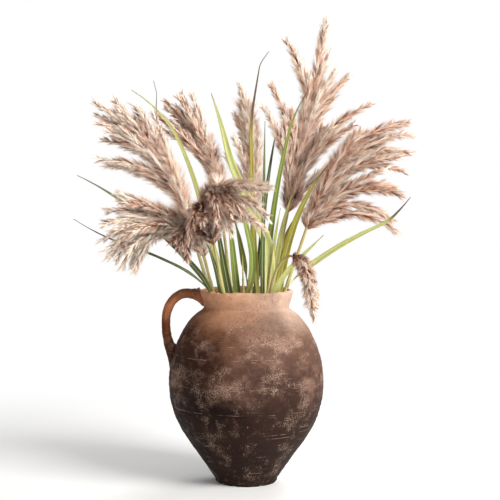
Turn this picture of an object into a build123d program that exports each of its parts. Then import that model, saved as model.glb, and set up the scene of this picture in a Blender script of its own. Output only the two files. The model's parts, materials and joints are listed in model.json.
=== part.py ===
from build123d import *
import math
import os

# A one-handled terracotta jar used as a flower vase, with a lift-out holder of dried reeds.
# Lengths are in mm and angles in degrees. The origin is the centre of the jar's foot, +Z is up
# and the handle is on the -X side. An azimuth is counted from +X towards +Y.

# Jar
JAR_HEIGHT = 400
FOOT_RADIUS = 62
WALL = 9
FLOOR = 14
THROAT_RADIUS = 88
THROAT_HEIGHT = 364
LIP_RADIUS = 97.5

# Handle
HANDLE_THICKNESS = 21
HANDLE_WIDTH = 34

# Liner pot, gravel and foam that hold the stems inside the jar
POT_FOOT_RADIUS = 49
POT_MOUTH_RADIUS = 73
POT_HEIGHT = 290
POT_WALL = 2
GRAVEL_TOP = 178
FOAM_TOP = 298
HOLE_DEPTH = 88
HOLE_CLEARANCE = 0.15

# Reeds
STEM_RADIUS = 3.6
STEM_TIP_RADIUS = 0.9
EMBED = 85
STEM_STEPS = 22
FINGER_ROOT = 0.6
FINGER_STEPS = 9
GOLDEN_ANGLE = 137.5

# Leaves
LEAF_STEPS = 18
LEAF_RIB = 0.55
LEAF_EDGE = 0.16


def heading(azimuth, lean):
    """The direction that points to an azimuth and leans away from straight up."""
    turn = math.radians(azimuth)
    tip = math.radians(lean)
    return Vector(math.sin(tip) * math.cos(turn), math.sin(tip) * math.sin(turn), math.cos(tip))


def heading_at(share, headings):
    """The direction at a share of a path, from a list of (share, azimuth, lean)."""
    for (low, *start), (high, *end) in zip(headings, headings[1:]):
        if share <= high:
            mix = (share - low) / (high - low)
            return (heading(*start) * (1 - mix) + heading(*end) * mix).normalized()
    return heading(*headings[-1][1:])


def grow(start, length, headings, steps):
    """Points of a path that starts at a point and follows its headings in equal steps."""
    points = [start]
    for step in range(steps):
        points.append(points[-1] + heading_at((step + 0.5) / steps, headings) * (length / steps))
    return points


def directions(points):
    """The direction of a path at each of its points."""
    ahead = points[1:] + [points[-1]]
    behind = [points[0]] + points[:-1]
    return [(b - a).normalized() for a, b in zip(behind, ahead)]


def along(points, share):
    """The point at a share of a path of equal steps."""
    place = min(share, 0.9999) * (len(points) - 1)
    first = int(place)
    return points[first] + (points[first + 1] - points[first]) * (place - first)


# Each reed: where its hole is in the foam (azimuth and radius at the foam's top), how the stem
# leans at each share of its length, and how its plume's fingers are set.
# roots: the shares of the stem where the fingers start. fan: the azimuth and lean that the
# fingers turn to, and how far each of the two spreads. finger: the length of the longest one.
# singles: (share of the stem, azimuth, lean, length) of fingers that stand out from the fan.
REEDS = {
    "left": dict(
        azimuth=173, hole=47, length=560, roots=(0.66, 0.99), fan=(168, 60, 18, 42),
        fingers=16, finger=214, thick=10.5,
        headings=[(0, 173, 17), (0.74, 173, 17), (0.87, 172, 38), (1, 171, 58)],
    ),
    "low_left": dict(
        azimuth=210, hole=47, length=412, roots=(0.66, 0.99), fan=(208, 130, 26, 56),
        fingers=17, finger=228, thick=10.5,
        headings=[(0, 210, 17), (0.7, 210, 17), (0.84, 210, 55), (1, 209, 98)],
    ),
    "front_left": dict(
        azimuth=235, hole=47, length=452, roots=(0.64, 0.99), fan=(300, 150, 84, 40),
        fingers=15, finger=150, thick=11,
        headings=[(0, 235, 18), (0.68, 235, 18), (0.8, 240, 24), (0.9, 300, 50), (1, 330, 95)],
        singles=[(0.96, 350, 98, 118), (0.9, 338, 136, 160), (0.84, 330, 118, 185)],
    ),
    "back_left": dict(
        azimuth=120, hole=42, length=525, roots=(0.78, 0.99), fan=(164, 48, 20, 34),
        fingers=10, finger=215, thick=9.5,
        headings=[(0, 120, 14), (0.8, 120, 14), (0.92, 135, 30), (1, 155, 42)],
    ),
    "back": dict(
        azimuth=80, hole=36, length=590, roots=(0.62, 0.99), fan=(128, 20, 60, 36),
        fingers=12, finger=130, thick=9.5,
        headings=[(0, 80, 9), (0.66, 82, 9), (0.8, 110, 10), (1, 135, 14)],
    ),
    "tall": dict(
        azimuth=42, hole=44, length=650, roots=(0.54, 0.99), fan=(12, 24, 30, 44),
        fingers=12, finger=190, thick=10.5,
        headings=[(0, 42, 16), (1, 42, 16)],
        singles=[(0.9, 178, 33, 170), (0.985, 0, 10, 150), (0.7, 2, 68, 225), (0.64, 348, 62, 195),
                 (0.82, 16, 52, 175), (0.7, 190, 33, 198), (0.62, 206, 38, 198)],
    ),
    "right": dict(
        azimuth=4, hole=47, length=548, roots=(0.58, 0.99), fan=(4, 95, 18, 48),
        fingers=15, finger=214, thick=10.5,
        headings=[(0, 4, 19), (0.6, 4, 19), (0.78, 4, 27), (1, 6, 46)],
        singles=[(0.97, 8, 84, 128), (0.86, 352, 36, 92)],
    ),
    "low_right": dict(
        azimuth=308, hole=46, length=430, roots=(0.7, 0.98), fan=(308, 172, 60, 10),
        fingers=8, finger=100, thick=9,
        headings=[(0, 308, 18), (0.5, 308, 18), (0.63, 308, 52), (0.73, 308, 105),
                  (0.85, 308, 160), (1, 308, 176)],
    ),
}

# Leafy shoots with no plume
SHOOTS = {
    "front": dict(azimuth=258, hole=24, length=260, headings=[(0, 258, 4), (1, 258, 4)]),
    "centre": dict(azimuth=338, hole=34, length=300, headings=[(0, 338, 8), (1, 338, 8)]),
}

# Each leaf: the stem it grows on, the height where it leaves it, its headings, length and width,
# and the direction its upper face looks in (azimuth, lean).
LEAVES = {
    "leaf_left_arch": dict(
        stem="low_left", height=346, length=420, width=12, face=(250, 50),
        headings=[(0, 180, 15), (0.12, 180, 20), (0.24, 183, 40), (0.4, 185, 45), (0.7, 187, 52),
                  (1, 188, 65)],
    ),
    "leaf_left_thin": dict(
        stem="low_left", height=386, length=330, width=7, face=(265, 50),
        headings=[(0, 194, 30), (0.12, 190, 46), (0.3, 190, 63), (0.62, 191, 71), (1, 192, 56)],
    ),
    "leaf_left_tip": dict(
        stem="left", height=352, length=515, width=7, face=(265, 80),
        headings=[(0, 130, 16), (0.3, 148, 20), (0.65, 157, 21), (0.78, 162, 29), (0.88, 60, 2),
                  (0.95, 0, 6), (1, 180, 40)],
    ),
    "leaf_back_left_tall": dict(
        stem="back_left", height=330, length=555, width=13, face=(262, 75),
        headings=[(0, 158, 16), (0.5, 162, 16.5), (0.7, 165, 25), (0.84, 166, 42), (1, 168, 60)],
    ),
    "leaf_front_left_short": dict(
        stem="front_left", height=335, length=170, width=15, face=(262, 80),
        headings=[(0, 215, 16), (0.5, 210, 14), (1, 205, 26)],
    ),
    "leaf_front_pair_left": dict(
        stem="front", height=322, length=262, width=16, face=(268, 85),
        headings=[(0, 196, 26), (0.35, 190, 11), (1, 186, 8)],
    ),
    "leaf_front_pair_right": dict(
        stem="front", height=342, length=240, width=16, face=(275, 85),
        headings=[(0, 165, 15), (0.3, 160, 6), (1, 172, 6)],
    ),
    "leaf_front_slanted": dict(
        stem="front", height=372, length=260, width=15, face=(280, 85),
        headings=[(0, 340, 20), (0.22, 350, 8), (0.5, 182, 13), (1, 182, 18)],
    ),
    "leaf_broad_pale": dict(
        stem="centre", height=346, length=482, width=25, face=(262, 80),
        headings=[(0, 350, 12), (0.16, 0, 6), (0.28, 175, 6), (0.36, 177, 25), (0.62, 177, 25),
                  (0.76, 176, 13), (1, 175, 20)],
    ),
    "leaf_tall_hooked": dict(
        stem="centre", height=316, length=588, width=11, face=(272, 85),
        headings=[(0, 105, 24), (0.08, 110, 16), (0.16, 150, 4), (0.68, 178, 1), (0.82, 5, 10),
                  (0.95, 5, 9), (1, 0, 70)],
    ),
    "leaf_upright_dark": dict(
        stem="low_right", height=336, length=410, width=10, face=(282, 85),
        headings=[(0, 120, 3), (0.3, 0, 1), (1, 0, 1)],
    ),
    "leaf_tall_side": dict(
        stem="tall", height=325, length=500, width=14, face=(262, 80),
        headings=[(0, 60, 6), (0.2, 30, 5), (0.5, 15, 9), (0.8, 10, 14), (1, 5, 34)],
    ),
    "leaf_tall_low": dict(
        stem="tall", height=362, length=208, width=11, face=(285, 85),
        headings=[(0, 300, 12), (0.3, 0, 5), (1, 10, 12)],
    ),
    "leaf_right_pale": dict(
        stem="tall", height=394, length=212, width=13, face=(255, 85),
        headings=[(0, 330, 14), (0.4, 350, 8), (1, 0, 20)],
    ),
    "leaf_right_olive": dict(
        stem="right", height=345, length=335, width=18, face=(262, 75),
        headings=[(0, 335, 10), (0.2, 345, 9), (0.5, 350, 17), (0.8, 350, 29), (1, 350, 42)],
    ),
    "leaf_right_kinked": dict(
        stem="right", height=404, length=318, width=14, face=(285, 50),
        headings=[(0, 352, 38), (0.15, 350, 50), (0.5, 350, 61), (0.74, 350, 66), (0.82, 350, 45),
                  (1, 350, 38)],
    ),
    "leaf_low_right": dict(
        stem="low_right", height=344, length=214, width=13, face=(280, 70),
        headings=[(0, 325, 14), (0.25, 333, 24), (0.6, 342, 45), (1, 345, 47)],
    ),
    "leaf_back_arch": dict(
        stem="back", height=366, length=390, width=15, face=(90, 40),
        headings=[(0, 112, 16), (0.3, 112, 28), (0.6, 110, 50), (1, 110, 88)],
    ),
    "leaf_back_right_arch": dict(
        stem="tall", height=372, length=360, width=14, face=(60, 40),
        headings=[(0, 62, 22), (0.3, 64, 36), (0.6, 64, 58), (1, 62, 92)],
    ),
    "leaf_back_left_arch": dict(
        stem="back_left", height=374, length=344, width=13, face=(140, 40),
        headings=[(0, 128, 22), (0.3, 128, 40), (0.6, 128, 62), (1, 128, 84)],
    ),
    "leaf_back_upright": dict(
        stem="back", height=336, length=434, width=12, face=(95, 80),
        headings=[(0, 50, 14), (0.4, 60, 10), (1, 62, 24)],
    ),
}


def stem_path(reed):
    """A stem's points, from its foot in the foam to its tip."""
    lean = reed["headings"][0][2]
    hole = heading(reed["azimuth"], 90) * reed["hole"] + Vector(0, 0, FOAM_TOP)
    foot = hole - heading(reed["azimuth"], lean) * EMBED
    return grow(foot, reed["length"], reed["headings"], STEM_STEPS)


def stem_radius(share):
    """A stem keeps its thickness up to its middle and then thins towards its tip."""
    thinning = max(0, share - 0.45) / 0.55
    return STEM_RADIUS + (STEM_TIP_RADIUS - STEM_RADIUS) * thinning


def finger_starts(reed):
    """(share of the stem, azimuth, lean, length, thickness) of each finger of a plume. The fan's
    fingers start in a spiral up the stem, with the outer ones lowest. The single ones follow."""
    azimuth, lean, azimuth_spread, lean_spread = reed["fan"]
    low, high = reed["roots"]
    starts = []
    for number in range(reed["fingers"]):
        out = math.sqrt((number + 0.5) / reed["fingers"])
        turn = math.radians(number * GOLDEN_ANGLE)
        starts.append((high - (high - low) * out,
                       azimuth + azimuth_spread * out * math.cos(turn),
                       lean + lean_spread * out * math.sin(turn),
                       reed["finger"] * (0.68 + 0.32 * out),
                       reed["thick"] * (0.8 + 0.2 * out)))
    return starts + [(*single, reed["thick"]) for single in reed.get("singles", [])]


def finger_paths(reed):
    """(points, thickness) of each finger of a plume, curving from the stem's way to its own."""
    stem = stem_path(reed)
    ways = directions(stem)
    fingers = []
    for share, azimuth, lean, length, thick in finger_starts(reed):
        way = ways[round(share * STEM_STEPS)]
        last = heading(azimuth, lean)
        first = (way + last * 0.55).normalized()
        side = (last - way * last.dot(way)).normalized()
        points = [along(stem, share) + side * (stem_radius(share) - FINGER_ROOT)]
        for step in range(FINGER_STEPS):
            mix = (step + 0.5) / FINGER_STEPS
            ahead = (first * (1 - mix) + last * mix).normalized()
            points.append(points[-1] + ahead * (length / FINGER_STEPS))
        fingers.append((points, thick))
    return fingers


def leaf_side(leaf):
    """(where a leaf leaves its stem, the side of the stem it leaves from)"""
    stem = stem_path({**REEDS, **SHOOTS}[leaf["stem"]])
    low = max(n for n in range(STEM_STEPS // 2) if stem[n].Z <= leaf["height"])
    share = (leaf["height"] - stem[low].Z) / (stem[low + 1].Z - stem[low].Z)
    run = (stem[low + 1] - stem[low]).normalized()
    away = heading_at(0.25, leaf["headings"])
    side = (away - run * away.dot(run)).normalized()
    return stem[low] + (stem[low + 1] - stem[low]) * share, side


def leaf_path(leaf):
    """A leaf's points, from where it leaves its stem to its tip."""
    on_stem, side = leaf_side(leaf)
    start = on_stem + side * (STEM_RADIUS + LEAF_RIB)
    return grow(start, leaf["length"], leaf["headings"], LEAF_STEPS)


def leaf_face(leaf, share):
    """Where a leaf's upper face looks: at its stem where it starts, and then its own way."""
    on_stem, side = leaf_side(leaf)
    mix = min(1, share / 0.22)
    return heading(*leaf["face"]) * mix - side * (1 - mix)


def leaf_width(leaf, share):
    """A leaf is narrow where it holds the stem, widest at a fifth of its length, and pointed."""
    return leaf["width"] * min(1, 0.45 + 2.75 * share) * (1 - 0.96 * share ** 2.4)


# Jar body
def draw_outside():
    """The jar's outside, from the middle of its foot up to the inner edge of its lip."""
    Polyline((0, 0), (FOOT_RADIUS, 0), (FOOT_RADIUS + 2.5, 2.5), (FOOT_RADIUS + 2.5, 6),
             (FOOT_RADIUS + 3.5, 8))
    wall = Spline(
        (FOOT_RADIUS + 3.5, 8), (101, 60), (134, 108), (154, 156), (161, 211), (157, 247),
        (142, 294), (115, 339), (98, 354), (THROAT_RADIUS, THROAT_HEIGHT),
        tangents=[(0.62, 1), (-0.25, 1)],
    )
    collar = Line(wall @ 1, (LIP_RADIUS, JAR_HEIGHT - 4))
    return ThreePointArc(collar @ 1, (LIP_RADIUS - 4, JAR_HEIGHT),
                         (LIP_RADIUS - 8, JAR_HEIGHT - 4))


with BuildPart() as jar_body:
    with BuildSketch(Plane.XZ):
        with BuildLine():
            lip = draw_outside()
            throat = Line(lip @ 1, (THROAT_RADIUS - WALL, THROAT_HEIGHT))
            inside = Spline(
                throat @ 1, (91, 348), (108, 332), (134, 289), (148, 244), (152, 211), (145, 158),
                (126, 112), (93, 63), (66, 25),
                tangents=[(-0.1, -1), (-0.62, -1)],
            )
            Polyline(inside @ 1, (56, FLOOR), (0, FLOOR), (0, 0))
        make_face()
    revolve(axis=Axis.Z)

# The jar as a filled shape, which the handle's ends are cut to
with BuildPart() as jar_filled:
    with BuildSketch(Plane.XZ):
        with BuildLine():
            lip = draw_outside()
            Polyline(lip @ 1, (0, JAR_HEIGHT - 4), (0, 0))
        make_face()
    revolve(axis=Axis.Z)

# Jar handle: a strap that springs from the collar, arches out and lands on the shoulder
HANDLE_STATIONS = [
    # x, z, lean of the strap's run, share of the full thickness and width
    (-88, 381, 70, 1.25),
    (-102, 387, 74, 1.08),
    (-124, 391.5, 92, 1.0),
    (-145, 384, 125, 0.98),
    (-161, 363, 156, 0.95),
    (-167, 335, 176, 0.92),
    (-165.5, 306, 188, 0.94),
    (-159, 279, 198, 1.0),
    (-150, 254, 202, 1.2),
    (-141, 232, 204, 1.45),
]
with BuildPart() as jar_handle:
    for x, z, lean, share in HANDLE_STATIONS:
        run = heading(180, lean)
        with BuildSketch(Plane(origin=(x, 0, z), x_dir=(0, 1, 0), z_dir=run)):
            Ellipse(HANDLE_WIDTH / 2 * share, HANDLE_THICKNESS / 2 * share)
    loft()
    add(jar_filled.part, mode=Mode.SUBTRACT)

# Inner pot: the tapered liner that carries the stems and keeps the weeping clay dry
with BuildPart() as inner_pot:
    with BuildSketch(Plane.XZ):
        with BuildLine():
            pot_top = FLOOR + POT_HEIGHT
            Polyline(
                (0, FLOOR), (POT_FOOT_RADIUS, FLOOR), (POT_MOUTH_RADIUS, pot_top - 6),
                (POT_MOUTH_RADIUS + 2.5, pot_top - 6), (POT_MOUTH_RADIUS + 2.5, pot_top),
                (POT_MOUTH_RADIUS - POT_WALL, pot_top),
                (POT_FOOT_RADIUS - POT_WALL, FLOOR + POT_WALL), (0, FLOOR + POT_WALL), close=True,
            )
        make_face()
    revolve(axis=Axis.Z)


def pot_inside(height):
    """The radius inside the inner pot at a height."""
    share = (height - FLOOR - POT_WALL) / (POT_HEIGHT - POT_WALL)
    return (POT_FOOT_RADIUS + (POT_MOUTH_RADIUS - POT_FOOT_RADIUS) * share) - POT_WALL


# Gravel that weights the pot
with BuildPart() as gravel_ballast:
    with BuildSketch(Plane.XZ):
        low, high = FLOOR + POT_WALL, GRAVEL_TOP
        Polygon((0, low), (pot_inside(low) - 0.1, low), (pot_inside(high) - 0.1, high), (0, high),
                align=None)
    revolve(axis=Axis.Z)

# Foam block with a round hole along each stem
with BuildPart() as foam_block:
    with BuildSketch(Plane.XZ):
        low, high = GRAVEL_TOP, FOAM_TOP
        Polygon((0, low), (pot_inside(low) - 0.2, low), (pot_inside(high) - 0.2, high), (0, high),
                align=None)
    revolve(axis=Axis.Z)
    for plant in [*REEDS.values(), *SHOOTS.values()]:
        path = stem_path(plant)
        run = directions(path)[0]
        with Locations(Plane(origin=path[0] - run * 1, z_dir=run)):
            Cylinder(STEM_RADIUS + HOLE_CLEARANCE, HOLE_DEPTH + 12, mode=Mode.SUBTRACT,
                     align=(Align.CENTER, Align.CENTER, Align.MIN))


def tube_planes(points):
    """A plane across a path at each point, turned as little as possible from one to the next."""
    side = Vector(0, 1, 0)
    planes = []
    for point, way in zip(points, directions(points)):
        side = (side - way * side.dot(way)).normalized()
        planes.append(Plane(origin=point, x_dir=side, z_dir=way))
    return planes


def build_stem(plant):
    """A stem as a row of short cones from foot to tip."""
    planes = tube_planes(stem_path(plant))
    with BuildPart() as stem:
        for step, plane in enumerate(planes):
            with BuildSketch(plane):
                Circle(stem_radius(step / STEM_STEPS) if "roots" in plant else STEM_RADIUS)
        loft(ruled=True)
    return stem.part


def build_finger(points, thick):
    """One finger of a plume, a spindle that swells from its root and ends in a point."""
    with BuildPart() as finger:
        for step, plane in enumerate(tube_planes(points)):
            share = step / FINGER_STEPS
            swell = math.sin(math.pi * (0.06 + 0.9 * share ** 0.75))
            with BuildSketch(plane):
                Circle(max(0.5, thick * swell))
        loft(ruled=True, clean=False)
    return finger.part.solid()


def build_plume(reed):
    """A plume's fingers, kept as separate solids."""
    return Compound([build_finger(points, thick) for points, thick in finger_paths(reed)])


def build_leaf(leaf):
    """A blade with a shallow fold along its middle, thick at the rib and thin at the edges."""
    points = leaf_path(leaf)
    with BuildPart() as blade:
        for step, (point, way) in enumerate(zip(points, directions(points))):
            share = step / LEAF_STEPS
            across = leaf_face(leaf, share).cross(way).normalized()
            half = max(0.6, leaf_width(leaf, share) / 2)
            fold = half * (0.75 - 0.5 * min(1, share / 0.3))
            rib = LEAF_RIB * (1 - 0.6 * share)
            with BuildSketch(Plane(origin=point, x_dir=across, z_dir=way)):
                Polygon((-half, fold + LEAF_EDGE), (-half, fold - LEAF_EDGE), (0, -rib),
                        (half, fold - LEAF_EDGE), (half, fold + LEAF_EDGE), (0, rib), align=None)
        loft(ruled=True)
    return blade.part


nodes = {
    "jar_body": jar_body.part,
    "jar_handle": jar_handle.part,
    "inner_pot": inner_pot.part,
    "gravel_ballast": gravel_ballast.part,
    "foam_block": foam_block.part,
}
for name, reed in REEDS.items():
    nodes["stem_" + name] = build_stem(reed)
    nodes["plume_" + name] = build_plume(reed)
for name, shoot in SHOOTS.items():
    nodes["shoot_" + name] = build_stem(shoot)
for name, leaf in LEAVES.items():
    nodes[name] = build_leaf(leaf)

os.makedirs("parts", exist_ok=True)
for name, shape in nodes.items():
    shape.label = name
    export_step(shape, "parts/" + name + ".step")
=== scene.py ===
import heapq
import json
import math

import bpy
import numpy as np
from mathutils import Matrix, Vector
from mathutils.bvhtree import BVHTree


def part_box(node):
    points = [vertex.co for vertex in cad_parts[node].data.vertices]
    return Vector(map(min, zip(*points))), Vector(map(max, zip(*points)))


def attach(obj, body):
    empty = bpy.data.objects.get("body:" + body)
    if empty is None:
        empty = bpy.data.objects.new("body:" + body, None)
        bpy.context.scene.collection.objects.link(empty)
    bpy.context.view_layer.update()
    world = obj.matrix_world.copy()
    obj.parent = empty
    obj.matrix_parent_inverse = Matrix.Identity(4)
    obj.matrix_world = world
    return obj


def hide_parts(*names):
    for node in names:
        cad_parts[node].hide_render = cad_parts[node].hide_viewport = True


# A terracotta jar with a lift-out holder of dried reeds. Everything is in metres, in the frame
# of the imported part: the foot's centre is the origin, +Z is up and the handle is on the -X side.

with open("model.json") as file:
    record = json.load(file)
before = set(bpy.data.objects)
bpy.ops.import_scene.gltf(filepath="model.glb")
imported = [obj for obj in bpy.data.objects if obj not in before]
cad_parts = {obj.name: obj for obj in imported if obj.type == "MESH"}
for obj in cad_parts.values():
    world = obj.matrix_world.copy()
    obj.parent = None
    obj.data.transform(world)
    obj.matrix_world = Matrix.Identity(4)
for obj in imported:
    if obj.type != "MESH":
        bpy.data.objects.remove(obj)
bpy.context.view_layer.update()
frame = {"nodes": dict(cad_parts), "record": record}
body_of = {node: body for body, members in frame["record"]["behaviour"]["bodies"].items()
           for node in members}


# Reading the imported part
def vertex_table(mesh, key):
    """The places or the normals of a mesh's points."""
    table = np.zeros(len(mesh.vertices) * 3, dtype=np.float32)
    mesh.vertices.foreach_get(key, table)
    return table.reshape(-1, 3).astype(float)


def read_node(name):
    """The points and triangles of a CAD node, with points that share a place joined."""
    mesh = frame["nodes"][name].data
    places = vertex_table(mesh, "co")
    mesh.calc_loop_triangles()
    corners = np.zeros(len(mesh.loop_triangles) * 3, dtype=np.int32)
    mesh.loop_triangles.foreach_get("vertices", corners)
    points, where = np.unique(places.round(6), axis=0, return_inverse=True)
    return points, where.ravel()[corners].reshape(-1, 3)


def shells(points, faces):
    """The (points, faces) of each loose shell of a mesh."""
    label = np.arange(len(points))
    while True:
        lowest = label.copy()
        np.minimum.at(lowest, faces, label[faces].min(axis=1)[:, None])
        if (lowest == label).all():
            break
        label = lowest[lowest]
    found = []
    for one in np.unique(label[faces[:, 0]]):
        kept = label == one
        renumbered = np.cumsum(kept) - 1
        found.append((points[kept], renumbered[faces[kept[faces[:, 0]]]]))
    return found


def walk(points, faces, start):
    """How far each point of a mesh is from a starting point, along the mesh's edges."""
    near = [[] for _ in points]
    for one, two in ((0, 1), (1, 2), (2, 0)):
        lengths = np.linalg.norm(points[faces[:, one]] - points[faces[:, two]], axis=1)
        for a, b, length in zip(faces[:, one].tolist(), faces[:, two].tolist(), lengths.tolist()):
            near[a].append((b, length))
            near[b].append((a, length))
    far = [math.inf] * len(points)
    far[start] = 0.0
    waiting = [(0.0, start)]
    while waiting:
        reached, here = heapq.heappop(waiting)
        if reached > far[here]:
            continue
        for there, length in near[here]:
            if reached + length < far[there]:
                far[there] = reached + length
                heapq.heappush(waiting, (far[there], there))
    return np.array(far)


def respace(line, count):
    """Points at equal steps along a line."""
    steps = np.linalg.norm(np.diff(line, axis=0), axis=1)
    run = np.concatenate(([0], np.cumsum(steps)))
    even = np.linspace(0, run[-1], count)
    return np.stack([np.interp(even, run, line[:, axis]) for axis in range(3)], axis=1)


def unit(vectors):
    """The same directions, each one long."""
    return vectors / np.maximum(np.linalg.norm(vectors, axis=-1, keepdims=True), 1e-12)


def shares_along(samples, line):
    """(how far along a line its nearest point to each sample is, from 0 to 1, the gap to it)"""
    start = line[:-1]
    run = np.diff(line, axis=0)
    place = ((samples[:, None] - start) * run).sum(2) / (run * run).sum(1)
    place = place.clip(0, 1)
    gap = np.linalg.norm(start + run * place[..., None] - samples[:, None], axis=2)
    best = gap.argmin(axis=1)
    rows = np.arange(len(samples))
    return (best + place[rows, best]) / len(run), gap[rows, best]


SAMPLES_PER_STATION = 60
SPINE_ROUNDS = 4


def spine(points, faces, root_of, count):
    """(centre line, radius at each of its points) of a long thin shell. The end where root_of is
    smaller comes first. Random spots on the surface are averaged around stations along it."""
    one_end = int(walk(points, faces, 0).argmax())
    far = walk(points, faces, one_end)
    other_end = int(far.argmax())
    if root_of(points[other_end]) < root_of(points[one_end]):
        far = far.max() - far
    chance = np.random.default_rng(len(points))
    corners = points[faces]
    area = np.linalg.norm(np.cross(corners[:, 1] - corners[:, 0], corners[:, 2] - corners[:, 0]),
                          axis=1)
    picked = faces[chance.choice(len(faces), SAMPLES_PER_STATION * count, p=area / area.sum())]
    weight = chance.dirichlet((1, 1, 1), len(picked))
    samples = (points[picked] * weight[..., None]).sum(1)
    share = (far[picked] * weight).sum(1) / far.max()
    stations = np.linspace(0, 1, count)
    for _ in range(SPINE_ROUNDS):
        pull = np.exp(-((share[None] - stations[:, None]) * count * 0.9) ** 2)
        line = respace(pull @ samples / pull.sum(1)[:, None], count)
        share, gap = shares_along(samples, line)
    pull = np.exp(-((share[None] - stations[:, None]) * count * 0.9) ** 2)
    radius = pull @ gap / pull.sum(1)
    for end, inner in ((0, 1), (-1, -2)):
        way = unit(line[end] - line[inner])
        ahead = samples[abs(share - stations[end]) < 1.5 / count] - line[end]
        line[end] += way * (ahead @ way).max()
    return line, radius


def turned_frames(line):
    """(way, side, up) along a line, turned as little as possible from point to point."""
    way = unit(np.gradient(line, axis=0))
    side = np.zeros_like(line)
    last = np.array((0.0, 1.0, 0.0))
    for number, ahead in enumerate(way):
        last = unit(last - ahead * (last @ ahead))
        side[number] = last
    return way, side, np.cross(way, side)


RIPPLE_WAVES = 8


def ripple(points, wavelength, seed):
    """A smooth random height at each point, about -1 to 1, from a few crossing waves."""
    chance = np.random.default_rng(seed)
    total = np.zeros(len(points))
    for _ in range(RIPPLE_WAVES):
        way = unit(chance.normal(size=3)) * math.tau / wavelength * chance.uniform(0.6, 1.6)
        total += np.sin(points @ way + chance.uniform(0, math.tau))
    return total / math.sqrt(RIPPLE_WAVES)


# Making pieces
def make_piece(name, points, faces, node, material, uv=None):
    """A smooth mesh that stands for a CAD node and rides on its body. The faces all have the
    same number of corners, and uv has a place for each corner of each face."""
    mesh = bpy.data.meshes.new(name)
    sides = faces.shape[1]
    mesh.vertices.add(len(points))
    mesh.vertices.foreach_set("co", points.astype(np.float32).ravel())
    mesh.loops.add(faces.size)
    mesh.loops.foreach_set("vertex_index", faces.astype(np.int32).ravel())
    mesh.polygons.add(len(faces))
    mesh.polygons.foreach_set("loop_start", np.arange(0, faces.size, sides, dtype=np.int32))
    mesh.update(calc_edges=True)
    mesh.polygons.foreach_set("use_smooth", np.ones(len(faces), dtype=bool))
    if uv is not None:
        layer = mesh.uv_layers.new(name="OFBake")
        layer.data.foreach_set("uv", uv.astype(np.float32).ravel())
    mesh.materials.append(material)
    mesh.update()
    piece = bpy.data.objects.new(name, mesh)
    bpy.context.scene.collection.objects.link(piece)
    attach(piece, body_of[node])
    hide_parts(node)


def grid_faces(rows, columns):
    """(quads of a grid of points, the column and the row of each of their corners). The last
    column joins the first."""
    row, column = np.meshgrid(np.arange(rows - 1), np.arange(columns), indexing="ij")
    here = (row * columns + column).ravel()
    right = (row * columns + (column + 1) % columns).ravel()
    faces = np.stack((here, right, right + columns, here + columns), axis=1)
    left_edge, low_edge = column.ravel(), row.ravel()
    corner_columns = np.stack((left_edge, left_edge + 1, left_edge + 1, left_edge), axis=1)
    corner_rows = np.stack((low_edge, low_edge, low_edge + 1, low_edge + 1), axis=1)
    return faces, corner_columns, corner_rows


# Node helpers
def add_node(tree, kind, inputs=None, **settings):
    """A new node, with each input linked to a socket or set to a value."""
    made = tree.nodes.new(kind)
    for key, value in settings.items():
        setattr(made, key, value)
    for key, value in (inputs or {}).items():
        if isinstance(value, bpy.types.NodeSocket):
            tree.links.new(value, made.inputs[key])
        else:
            made.inputs[key].default_value = value
    return made


def calc(tree, operation, one, two=0.0, three=0.0):
    """A Math node's result."""
    return add_node(tree, "ShaderNodeMath", {0: one, 1: two, 2: three},
                    operation=operation).outputs[0]


def noise(tree, vector, scale, detail=4.0, rough=0.55, stretch=(1, 1, 1), shift=0.0):
    """A noise value from 0 to 1."""
    moved = add_node(tree, "ShaderNodeMapping",
                     {"Vector": vector, "Scale": stretch, "Location": (shift, shift, shift)})
    made = add_node(tree, "ShaderNodeTexNoise", {
        "Vector": moved.outputs[0], "Scale": scale, "Detail": detail, "Roughness": rough})
    return made.outputs["Fac"]


def level(tree, value, low, high, start=0.0, end=1.0):
    """A value rescaled from low..high to start..end, smoothly and clamped."""
    return add_node(tree, "ShaderNodeMapRange", {
        "Value": value, "From Min": low, "From Max": high, "To Min": start, "To Max": end},
        interpolation_type="SMOOTHSTEP").outputs["Result"]


def ramp(tree, value, stops):
    """A colour from a list of (place, colour)."""
    made = add_node(tree, "ShaderNodeValToRGB", {"Fac": value})
    band = made.color_ramp
    band.elements[0].position = stops[0][0]
    band.elements[0].color = (*stops[0][1], 1)
    band.elements[1].position = stops[-1][0]
    band.elements[1].color = (*stops[-1][1], 1)
    for place, colour in stops[1:-1]:
        band.elements.new(place).color = (*colour, 1)
    return made.outputs["Color"]


def blend(tree, amount, one, two, mode="MIX"):
    """Two colours mixed by an amount."""
    made = add_node(tree, "ShaderNodeMix", {"Factor": amount}, data_type="RGBA", blend_type=mode)
    for socket, value in ((made.inputs[6], one), (made.inputs[7], two)):
        if isinstance(value, bpy.types.NodeSocket):
            tree.links.new(value, socket)
        else:
            socket.default_value = (*value, 1)
    return made.outputs[2]


def start_material(name, roughness, specular=0.4):
    """(material, its node tree, its shader node)"""
    material = bpy.data.materials.new(name)
    material.use_nodes = True
    shader = material.node_tree.nodes["Principled BSDF"]
    shader.inputs["Roughness"].default_value = roughness
    shader.inputs["Specular IOR Level"].default_value = specular
    return material, material.node_tree, shader


def add_bump(tree, shader, height, distance, strength=1.0):
    """Fine relief, from a height and the depth in metres that a height of 1 stands for."""
    made = add_node(tree, "ShaderNodeBump",
                    {"Height": height, "Distance": distance, "Strength": strength})
    tree.links.new(made.outputs["Normal"], shader.inputs["Normal"])


def grey_of(tree, value):
    """A grey colour of a given value."""
    return add_node(tree, "ShaderNodeCombineColor", {0: value, 1: value, 2: value}).outputs[0]


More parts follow.
